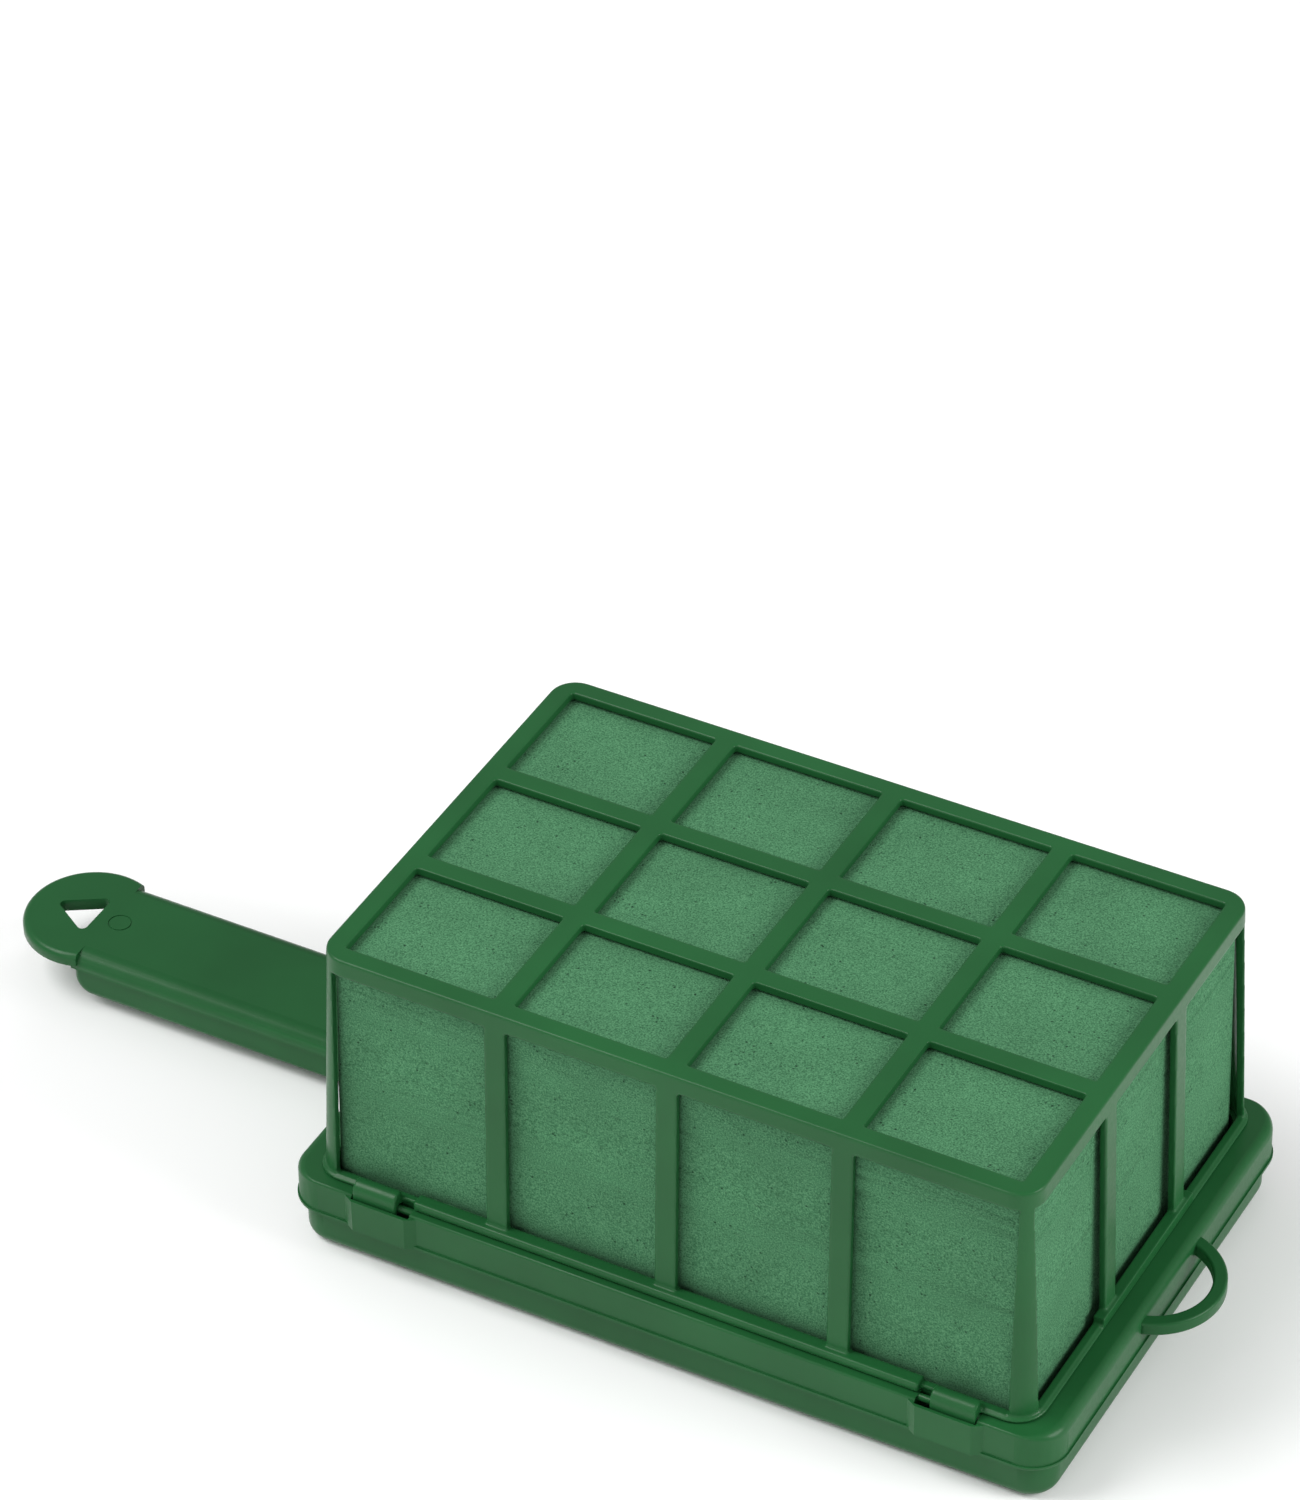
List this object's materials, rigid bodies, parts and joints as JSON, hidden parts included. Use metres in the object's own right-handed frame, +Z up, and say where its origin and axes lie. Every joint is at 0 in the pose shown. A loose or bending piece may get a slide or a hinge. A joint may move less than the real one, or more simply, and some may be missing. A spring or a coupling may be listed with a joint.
{
  "type": "floral foam brick",
  "caption": "Floral foam brick held in a removable lattice cage on a shallow tray with a flat paddle handle and a hanging ring.",
  "frame": {"origin": "centre of the tray's flat underside", "axes": "+X along the length from the handle to the ring, +Y across, +Z up from the tray to the top grille"},
  "size_m": [0.3165, 0.1286, 0.0853],
  "materials": {
    "tray_plastic": "satin",
    "cage_plastic": "satin",
    "wet_foam": "matte"
  },
  "bodies": {
    "tray": {"tray_dish": "tray_plastic", "tray_rim": "tray_plastic", "clip_pin_front_handle_end": "tray_plastic", "clip_pin_front_ring_end": "tray_plastic", "clip_pin_back_handle_end": "tray_plastic", "clip_pin_back_ring_end": "tray_plastic", "handle_top": "tray_plastic", "handle_shell": "tray_plastic", "hanging_ring": "tray_plastic"},
    "brick": {"foam_brick": "wet_foam"},
    "cage": {"top_rail_front": "cage_plastic", "top_rail_back": "cage_plastic", "top_rail_handle_end": "cage_plastic", "top_rail_ring_end": "cage_plastic", "cross_bar_1": "cage_plastic", "cross_bar_2": "cage_plastic", "cross_bar_3": "cage_plastic", "long_bars_front": "cage_plastic", "long_bars_back": "cage_plastic", "corner_post_front_handle_end": "cage_plastic", "corner_post_front_ring_end": "cage_plastic", "corner_post_back_handle_end": "cage_plastic", "corner_post_back_ring_end": "cage_plastic", "band_front": "cage_plastic", "band_back": "cage_plastic", "band_handle_end": "cage_plastic", "band_ring_end": "cage_plastic", "foot_rail_front": "cage_plastic", "foot_rail_back": "cage_plastic", "foot_rail_handle_end": "cage_plastic", "foot_rail_ring_end": "cage_plastic", "post_front_1": "cage_plastic", "post_front_2": "cage_plastic", "post_front_3": "cage_plastic", "post_back_1": "cage_plastic", "post_back_2": "cage_plastic", "post_back_3": "cage_plastic", "post_handle_end_1": "cage_plastic", "post_handle_end_2": "cage_plastic", "post_ring_end_1": "cage_plastic", "post_ring_end_2": "cage_plastic", "hook_front_handle_end": "cage_plastic", "hook_front_ring_end": "cage_plastic", "hook_back_handle_end": "cage_plastic", "hook_back_ring_end": "cage_plastic"}
  },
  "joints": [
    {"name": "brick_lift", "type": "slide", "parent": "tray", "child": "brick", "axis": [0, 0, 1], "range_m": [0, 0.06]},
    {"name": "cage_lift", "type": "slide", "parent": "brick", "child": "cage", "axis": [0, 0, 1], "range_m": [0, 0.09]}
  ]
}
